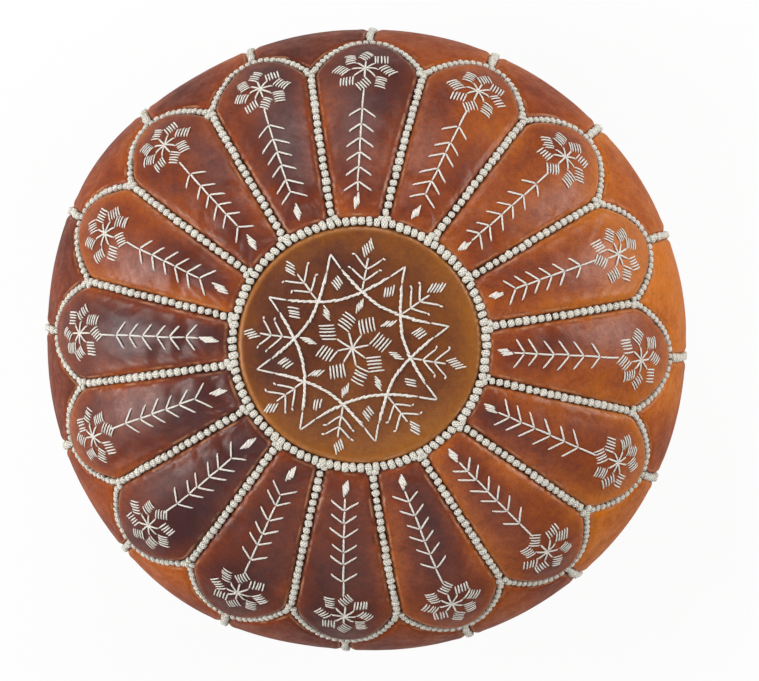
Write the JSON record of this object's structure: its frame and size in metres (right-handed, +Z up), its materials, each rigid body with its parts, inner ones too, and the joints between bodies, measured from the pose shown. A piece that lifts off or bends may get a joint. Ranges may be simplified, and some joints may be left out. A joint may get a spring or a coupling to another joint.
{
  "type": "leather pouf",
  "caption": "Round stuffed floor pouf of stitched leather panels: embroidered medallion and petals on top, plain sides, and a flat base with a zip.",
  "frame": {"origin": "middle of the base, on the floor", "axes": "+Z up; +X along the zip, towards its closed end, and along the pouf's longer diameter; a petal's middle lies on +X and another on +Y"},
  "size_m": [0.5666, 0.5514, 0.33],
  "materials": {
    "medallion_leather": "glossy hand-dyed goatskin, olive-tan",
    "petal_leather": "glossy hand-dyed goatskin, mottled from orange-tan to purple-brown",
    "side_leather": "glossy hand-dyed goatskin, orange-tan",
    "base_leather": "dull goatskin, tan",
    "braid_thread": "braided off-white thread",
    "zip_tape_cloth": "brown woven tape",
    "zip_metal": "aged brass",
    "cotton_filling": "loose cotton wadding"
  },
  "bodies": {
    "cover": {"medallion": "medallion_leather", "petal_01": "petal_leather", "petal_02": "petal_leather", "petal_03": "petal_leather", "petal_04": "petal_leather", "petal_05": "petal_leather", "petal_06": "petal_leather", "petal_07": "petal_leather", "petal_08": "petal_leather", "petal_09": "petal_leather", "petal_10": "petal_leather", "petal_11": "petal_leather", "petal_12": "petal_leather", "petal_13": "petal_leather", "petal_14": "petal_leather", "petal_15": "petal_leather", "petal_16": "petal_leather", "side_panel_01": "side_leather", "side_panel_02": "side_leather", "side_panel_03": "side_leather", "side_panel_04": "side_leather", "side_panel_05": "side_leather", "side_panel_06": "side_leather", "side_panel_07": "side_leather", "side_panel_08": "side_leather", "side_panel_09": "side_leather", "side_panel_10": "side_leather", "side_panel_11": "side_leather", "side_panel_12": "side_leather", "side_panel_13": "side_leather", "side_panel_14": "side_leather", "side_panel_15": "side_leather", "side_panel_16": "side_leather", "base_panel_left": "base_leather", "base_panel_right": "base_leather", "filling": "cotton_filling", "medallion_seam_braid": "braid_thread", "petal_seam_braids": "braid_thread", "arch_seam_braids": "braid_thread", "side_seam_braids": "braid_thread", "base_seam_braid": "braid_thread", "zip_tape_left": "zip_tape_cloth", "zip_tape_right": "zip_tape_cloth", "zip_teeth_left": "zip_metal", "zip_teeth_right": "zip_metal", "zip_top_stops": "zip_metal", "zip_bottom_stop": "zip_metal"},
    "slider": {"zip_slider": "zip_metal"},
    "pull": {"zip_pull": "zip_metal"}
  },
  "joints": [
    {"name": "zip_slide", "type": "slide", "parent": "cover", "child": "slider", "axis": [1, 0, 0], "range_m": [-0.2628, 0], "deforming": ["zip_teeth_left", "zip_teeth_right"]},
    {"name": "pull_hinge", "type": "hinge", "parent": "slider", "child": "pull", "pos_m": [0.13558, 0, 0.00395], "axis": [0, -1, 0], "range_deg": [-4, 166]}
  ]
}
